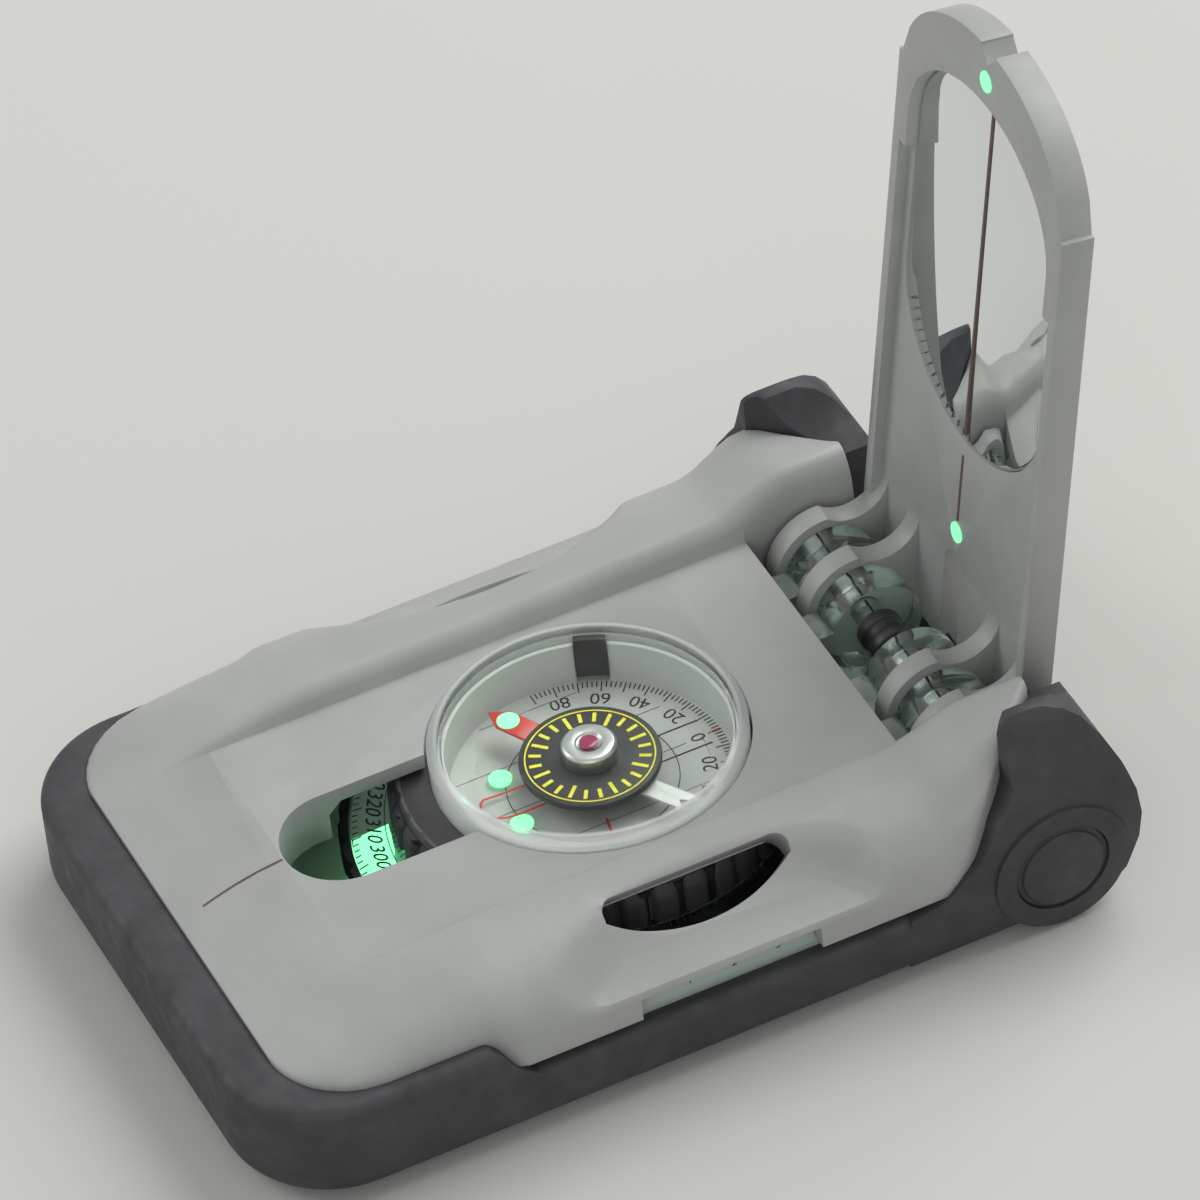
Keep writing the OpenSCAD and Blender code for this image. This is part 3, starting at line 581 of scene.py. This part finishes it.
class COMPASS_OT_bumper(bpy.types.Operator):
    """Rubber bumper and its round side caps"""

    bl_idname = "compass.bumper"
    bl_label = "Rubber bumper"

    def execute(self, context):
        dressed("rubber_bumper", "bumper", "moulded_rubber", "base",
                rounding=sizes().lip_round, segments=3)
        for side in ("left", "right"):
            dressed(f"{side}_side_cap", f"{side}_cap", "rubber_cap", "base",
                    rounding=0.2)
        return {"FINISHED"}


class COMPASS_OT_base(bpy.types.Operator):
    """Clear base, its ruled flats, the glowing pad and the screws"""

    bl_idname = "compass.base"
    bl_label = "Clear base"

    def execute(self, context):
        dressed("clear_base", "base_tray", "clear_acrylic_base", "base",
                rounding=0.15)
        painted("window_light_pad", "glow_pad")
        dressed("base_screws", "screws", "ground_steel", "base", rounding=0.08)
        # a rule on each side flat, a tick each millimetre and a long one each five
        flat_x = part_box("clear_base")[1].x / MM + 0.02
        top, long, short = 11.9, 1.5, 0.85
        rule = bmesh.new()
        for side in (-1, 1):
            for k in range(-9, 10):
                foot = top - (short if k % 5 else long)
                bar(rule, (side * flat_x, k * side, foot), (side * flat_x, k * side, top),
                    0.14, 0.02)
            upright = (Matrix.Rotation(radians(90 * side), 4, "Z")
                       @ Matrix.Rotation(radians(90), 4, "X"))
            for k, text in ((-5, "1"), (0, "2"), (5, "3")):
                spot = Matrix.Translation(Vector((side * flat_x, (k + 1) * side, 10.4)) * MM)
                figures(rule, text, 0.9, spot @ upright)
        to_object("rule_marks", closed(rule), "black_ink", "base")
        return {"FINISHED"}


class COMPASS_OT_hinge(bpy.types.Operator):
    """Steel pin and the black collar on it"""

    bl_idname = "compass.hinge"
    bl_label = "Hinge"

    def execute(self, context):
        dressed("hinge_pin", "pin", "ground_steel", "base", rounding=0.2)
        dressed("hinge_spacer", "collar", "black_acetal", "base", rounding=0.15)
        return {"FINISHED"}


class COMPASS_OT_dial(bpy.types.Operator):
    """Ribbed rings and the clear scale ring with its azimuth scale"""

    bl_idname = "compass.dial"
    bl_label = "Dial"

    def execute(self, context):
        dressed("drive_ring", "ribbed_ring", "black_acetal", "dial",
                rounding=0.15)
        dressed("scale_ring", "azimuth_ring", "clear_scale_ring", "dial",
                rounding=0.1)
        # the bevelled grip that the side windows show, round the ribbed ring
        grip = bmesh.new()
        grooved_ring(grip, ((19.4, 14.2, 0), (19.9, 14.43, 0), (20.2, 14.4, 0.4),
                            (21.2, 12.9, 1), (21.3, 12.5, 1), (21.3, 9.4, 1),
                            (20.4, 9.25, 0), (19.4, 9.25, 0)), 38, 0.65)
        # its grey is painted light, paler than the black parts so that the shaded grip shows mid
        # grey in the windows
        to_object("grooved_grip", grip, "grip_rubber", "dial")
        # the rim's ring, kept low so that the scale on the cone shows through the slot
        rim = bmesh.new()
        grooved_ring(rim, ((25.75, 5.45, 0), (26.8, 5.45, 0.6), (26.9, 5.6, 1),
                           (26.9, 7.2, 1), (26.6, 7.6, 1), (25.75, 7.6, 0)), 43, 0.45)
        thumb_ring = to_object("thumb_ring", rim, "black_acetal", "dial")
        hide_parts("grip_ring")

        def on_cone(radius):
            """A radius with the height of a print that lies there on the cone."""
            return radius, CONE_INNER[1] - (radius - CONE_INNER[0]) * CONE_FALL + 0.02

        marks = bmesh.new()
        rim_ticks, hub_ticks, figures_at = 25.5, (20.8, 21.4), 23.2
        for degree in range(0, 360, 2):
            reach = 0.6 if degree % 10 else 1.0
            radial(marks, degree, on_cone(rim_ticks - reach), on_cone(rim_ticks), 0.16)
            radial(marks, degree, *map(on_cone, hub_ticks), 0.12)
        index_angle, index_reading = -90, 290
        for reading in range(0, 360, 10):
            place = round_the_dial(index_angle - (reading - index_reading),
                                   *on_cone(figures_at), -math.atan(CONE_FALL))
            figures(marks, str(reading), 1.75, place)
        ring(marks, 21.9, 22.0, on_cone(21.9)[1])
        to_object("azimuth_scale", closed(marks), "black_ink", "dial")
        return {"FINISHED"}


class COMPASS_OT_capsule(bpy.types.Operator):
    """Liquid capsule with the printed face, scale, plug, post and index"""

    bl_idname = "compass.capsule"
    bl_label = "Capsule"

    def execute(self, context):
        dressed("capsule_shell", "capsule", "acrylic_on_liquid", "dial",
                rounding=0.12)
        dressed("capsule_face", "face", "printed_face", "dial", rounding=0.1)
        dressed("filler_plug", "filler", "black_acetal", "dial", rounding=0.1)
        painted("pivot_post", "ground_steel")
        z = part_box("declination_disc")[0].z / MM - DISC_ABOVE_FACE + PRINT_LIFT

        # the declination scale reads 90 degrees each way from north
        black = bmesh.new()
        north, scale_r, figure_r = 90.7, 14.85, 12.3
        for degree in range(-90, 91, 2):
            reach = 0.85 if degree % 10 else 1.5
            radial(black, north + degree, (scale_r - reach, z), (scale_r, z), sizes().tick_width)
        for degree in range(-80, 81, 20):
            figures(black, str(abs(degree)), sizes().figure_height,
                    round_the_dial(north + degree, figure_r, z))
        for x in (-2.5, 1.25):
            bar(black, (x, 13.2, z), (x, 6.8, z), 0.2)
        ring(black, 9.0, 9.1, z)
        to_object("face_scale", closed(black), "black_ink", "dial")

        # the meridian lines stop short of the scale's figures
        grey = bmesh.new()
        for x, far in ((-12.8, 4.2), (-6.4, 10.8), (0, 10.8), (6.4, 10.8), (12.8, 4.2)):
            bar(grey, (x, -math.sqrt(14.6 ** 2 - x * x), z), (x, far, z), 0.12, 0.02)
        to_object("meridian_lines", closed(grey), "grey_ink", "dial")

        red = bmesh.new()
        radial(red, north, (13.9, z), (14.9, z), 0.3)
        radial(red, -12, (6.0, z), (8.5, z), 0.28)
        bar(red, (8.4, -2.75, z), (8.5, -1.1, z), 0.28)
        to_object("face_red_marks", closed(red), "red_ink", "dial")

        index = bmesh.new()
        ring(index, 14.05, 14.75, z, 0.9, start=-104, sweep=17, steps=12)
        closed(index)
        soften(index, list(index.edges), 0.12, 2)
        to_object("index_glow", index, "glow_paint", "dial")
        return {"FINISHED"}


class COMPASS_OT_arrow(bpy.types.Operator):
    """Clear disc with the red orienting arrow and its two glowing dots"""

    bl_idname = "compass.arrow"
    bl_label = "Orienting arrow"

    def execute(self, context):
        dressed("declination_disc", "arrow_disc", "acrylic_in_liquid", "declination")
        painted("north_dots", "glow_paint")
        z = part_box("declination_disc")[1].z / MM + PRINT_LIFT
        left = ((-2.3, -5.4), (-2.4, -9.0), (-2.55, -11.3), (-2.2, -11.8), (-1.6, -12.0))
        right = ((1.2, -5.4), (1.25, -9.0), (1.1, -10.3), (0.7, -11.2), (0.0, -11.9),
                 (-0.8, -12.1))
        arrow = bmesh.new()
        for line in (left, right):
            for start, end in zip(line, line[1:]):
                bar(arrow, (*start, z), (*end, z), 0.26)
        to_object("arrow_outline", closed(arrow), "red_ink", "declination")
        return {"FINISHED"}


class COMPASS_OT_needle(bpy.types.Operator):
    """Needle disc, red tip, glowing dot, hub and ruby"""

    bl_idname = "compass.needle"
    bl_label = "Needle"

    def execute(self, context):
        dressed("needle_disc", "magnet_disc", "needle_black", "needle",
                rounding=0.12)
        dressed("needle_tip", "tip", "red_enamel", "needle", rounding=0.05)
        dressed("needle_hub", "hub", "nickel_hub", "needle", rounding=0.08)
        dressed("needle_jewel", "ruby", "synthetic_ruby", "needle", rounding=0.06)
        painted("needle_dot", "glow_paint")
        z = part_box("needle_disc")[1].z / MM + PRINT_LIFT
        marks = bmesh.new()
        for angle in range(0, 360, 15):
            radial(marks, angle, (5.1 if angle % 45 else 4.6, z), (6.4, z), 0.4)
        ring(marks, 6.7, 6.85, z)
        to_object("disc_marks", closed(marks), "yellow_ink", "needle")
        return {"FINISHED"}


class COMPASS_OT_clinometer(bpy.types.Operator):
    """Pale clinometer pointer"""

    bl_idname = "compass.clinometer"
    bl_label = "Clinometer"

    def execute(self, context):
        dressed("clinometer_pointer", "pointer", "pale_pointer", "clinometer",
                rounding=0.05)
        return {"FINISHED"}


class COMPASS_OT_lid(bpy.types.Operator):
    """Lid with its mirror, sighting lines and glowing sights"""

    bl_idname = "compass.lid"
    bl_label = "Lid"

    def execute(self, context):
        dressed("lid_frame", "lid", "moulded_grey_lid", "lid", rounding=0.3)
        dressed("mirror", "mirror_glass", "silvered_mirror", "lid", rounding=0.4)
        painted("upper_sight_dot", "glow_paint")
        painted("lower_sight_dot", "glow_paint")
        # one line below the mirror and one down its whole length
        lines = bmesh.new()
        for near, far in ((15.0, 23.6), (26.3, 68.6)):
            block(lines, (0, -(near + far) / 2, LID_INNER + 0.04),
                  (1.4 * sizes().sight_width, far - near, 0.2))
        to_object("sighting_lines_lid", lines, "brown_ink", "lid", turn=LID_UP)
        # ticks along one side of the mirror's lower lobe
        ticks = bmesh.new()
        reach = 0.9
        for k in range(15):
            angle = radians(200 + k * 5.2)
            outer, inner = (Vector(((MIRROR_LOBE[0] - inset) * cos(angle),
                                    -MIRROR_LOBE_AT - (MIRROR_LOBE[1] - inset) * sin(angle)))
                            for inset in (0, reach))
            across = inner - outer
            block(ticks, (*((outer + inner) / 2), LID_INNER + 0.06), (reach, 0.12, 0.05),
                  Matrix.Rotation(math.atan2(across.y, across.x), 4, "Z"))
        to_object("mirror_ticks", ticks, "grey_ink", "lid", turn=LID_UP)
        return {"FINISHED"}


# ---- floor, light and camera ----

class COMPASS_OT_studio(bpy.types.Operator):
    """Pale floor, soft lamps and the camera"""

    bl_idname = "compass.studio"
    bl_label = "Studio"

    def execute(self, context):
        self.lay_floor(context.scene)
        self.light(context.scene)
        self.aim_camera(context.scene)
        context.scene.view_settings.view_transform = "Standard"
        return {"FINISHED"}

    def lay_floor(self, scene):
        """Matt pale paper, just under the compass."""
        sheet = bmesh.new()
        bmesh.ops.create_grid(sheet, x_segments=1, y_segments=1, size=3.0)
        mesh = bpy.data.meshes.new("floor")
        sheet.to_mesh(mesh)
        sheet.free()
        mesh.materials.append(new_material(
            "matt_paper_floor",
            {"Base Color": linear("#D4D3CE"), "Roughness": 0.9, "Specular IOR Level": 0.1})[0])
        floor = bpy.data.objects.new("floor", mesh)
        floor.location.z = -0.0002
        scene.collection.objects.link(floor)

    def light(self, scene):
        """A dim world that looks pale where it is seen, and three soft lamps."""
        world = bpy.data.worlds.new("studio")
        scene.world = world
        world.use_nodes = True
        tree = world.node_tree
        back = tree.nodes["Background"]
        back.inputs["Color"].default_value = linear("#E4E6E8")
        back.inputs["Strength"].default_value = 0.42
        seen = add_node(tree, "ShaderNodeBackground",
                        {"Color": linear("#DCDBD7"), "Strength": 1.0})
        path = add_node(tree, "ShaderNodeLightPath")
        through = add_node(tree, "ShaderNodeMath", {"operation": "MAXIMUM"},
                           {0: path.outputs["Is Camera Ray"],
                            1: path.outputs["Is Transmission Ray"]})
        looked_at = add_node(tree, "ShaderNodeMath", {"operation": "MAXIMUM"},
                             {0: through.outputs["Value"], 1: path.outputs["Is Glossy Ray"]})
        mix = add_node(tree, "ShaderNodeMixShader", None,
                       {0: looked_at.outputs["Value"], 1: back.outputs[0], 2: seen.outputs[0]})
        tree.links.new(mix.outputs[0], tree.nodes["World Output"].inputs["Surface"])

        for name, place, size, power in (("key", (-0.2, 0.6, 0.75), 0.8, 6.8),
                                         ("fill", (0.75, -0.35, 0.45), 0.7, 1.3),
                                         ("front", (-0.5, -0.6, 0.6), 0.5, 2.0)):
            lamp = bpy.data.lights.new(name, "AREA")
            lamp.size = size
            lamp.energy = power
            holder = bpy.data.objects.new(name, lamp)
            holder.location = place
            towards = Vector((0, 0, 0.01)) - Vector(place)
            holder.rotation_euler = towards.to_track_quat("-Z", "Y").to_euler()
            scene.collection.objects.link(holder)

    def aim_camera(self, scene):
        """A long lens: degrees round, up and of roll, and metres from the hinge."""
        around, down, roll, distance = radians(68.8), radians(42.66), radians(6.64), 1.1577
        # in pixels of a 1200 frame: the focal length, and the frame's middle from the hinge
        frame_side, focal, left, over = 1200, 11114.0, 293, 47
        level = Vector((cos(around), sin(around), 0))
        ahead = Vector((-sin(around) * cos(down), cos(around) * cos(down), -sin(down)))
        upright = level.cross(ahead)
        across = level * cos(roll) - upright * sin(roll)
        above = level * sin(roll) + upright * cos(roll)
        spot = HINGE + (above * over - across * left) * distance / focal - ahead * distance
        view = bpy.data.cameras.new("camera")
        view.sensor_width = 36
        view.lens = focal / frame_side * view.sensor_width
        view.clip_start = 0.05
        camera = bpy.data.objects.new("camera", view)
        axes = Matrix((across, above, -ahead)).transposed().to_4x4()
        camera.matrix_world = Matrix.Translation(spot) @ axes
        scene.collection.objects.link(camera)
        scene.camera = camera


PIECES = (COMPASS_OT_housing, COMPASS_OT_bumper, COMPASS_OT_base, COMPASS_OT_hinge,
          COMPASS_OT_dial, COMPASS_OT_capsule, COMPASS_OT_arrow, COMPASS_OT_needle,
          COMPASS_OT_clinometer, COMPASS_OT_lid, COMPASS_OT_studio)


class COMPASS_PT_panel(bpy.types.Panel):
    """Lists the compass's sizes, colours and pieces"""

    bl_label = "Mirror compass"
    bl_idname = "COMPASS_PT_panel"
    bl_space_type = "VIEW_3D"
    bl_region_type = "UI"
    bl_category = "Compass"

    def draw(self, context):
        for group in (context.scene.compass_sizes, context.scene.compass_colours):
            for key in group.__annotations__:
                self.layout.prop(group, key)
        for piece in PIECES:
            self.layout.operator(piece.bl_idname)


CLASSES = (CompassSizes, CompassColours, *PIECES, COMPASS_PT_panel)


def register():
    for cls in CLASSES:
        bpy.utils.register_class(cls)
    bpy.types.Scene.compass_sizes = bpy.props.PointerProperty(type=CompassSizes)
    bpy.types.Scene.compass_colours = bpy.props.PointerProperty(type=CompassColours)


def unregister():
    del bpy.types.Scene.compass_colours
    del bpy.types.Scene.compass_sizes
    for cls in reversed(CLASSES):
        bpy.utils.unregister_class(cls)


def main():
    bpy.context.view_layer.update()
    register()
    for piece in PIECES:
        group, name = piece.bl_idname.split(".")
        getattr(getattr(bpy.ops, group), name)()


if __name__ == "__main__":
    main()
